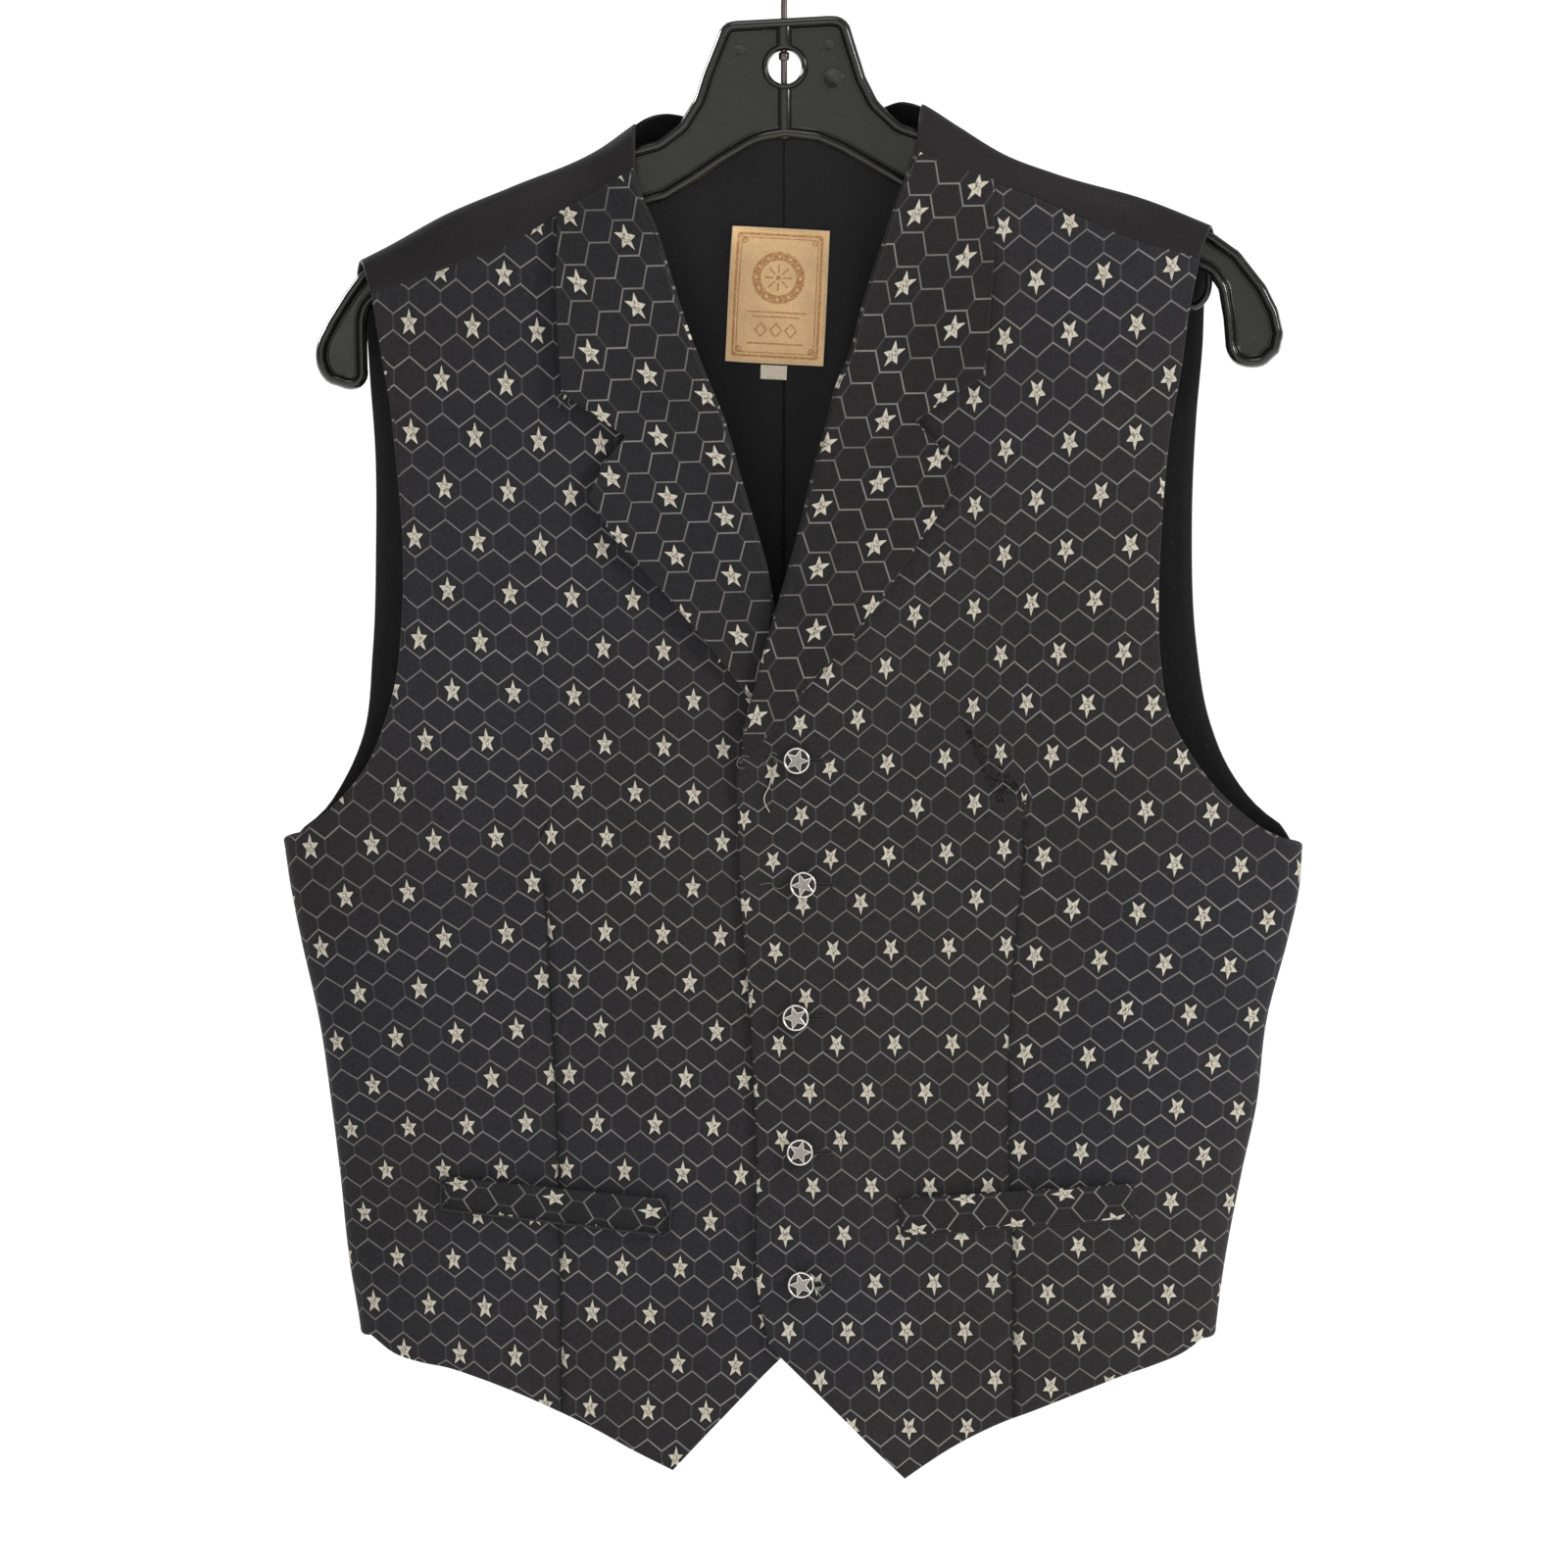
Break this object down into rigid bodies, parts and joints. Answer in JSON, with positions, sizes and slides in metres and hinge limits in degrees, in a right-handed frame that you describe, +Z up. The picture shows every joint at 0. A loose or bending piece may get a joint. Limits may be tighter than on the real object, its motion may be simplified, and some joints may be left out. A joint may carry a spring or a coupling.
{
  "type": "western vest on a hanger",
  "caption": "Western vest with notched lapels, a buttoned front, welts and pointed hems, hanging open-necked on a moulded hanger with a wire hook.",
  "frame": {"origin": "the inner crest of the hanger's hook, where it hangs on a rail", "axes": "+Z up, the vest's front faces -Y, +X to the right of someone who looks at the front"},
  "size_m": [0.4784, 0.0666, 0.7644],
  "materials": {
    "jacquard": "charcoal jacquard with a fine grey honeycomb line and raised pale stars",
    "back_cloth": "black smooth back cloth with a slight sheen",
    "button_metal": "worn silver-coloured metal, darkened in its recesses",
    "patch_leather": "undyed tan leather",
    "tag_tape": "cream woven tape",
    "hanger_plastic": "glossy black moulded plastic",
    "hook_steel": "plated steel wire"
  },
  "bodies": {
    "root": {"right_front": "jacquard", "left_front": "jacquard", "right_lapel": "jacquard", "left_lapel": "jacquard", "right_welt": "jacquard", "left_welt": "jacquard", "right_back": "back_cloth", "left_back": "back_cloth", "button_1": "button_metal", "button_2": "button_metal", "button_3": "button_metal", "button_4": "button_metal", "button_5": "button_metal", "label_patch": "patch_leather", "size_tag": "tag_tape", "hanger_body": "hanger_plastic", "hanger_hook": "hook_steel"}
  },
  "joints": []
}
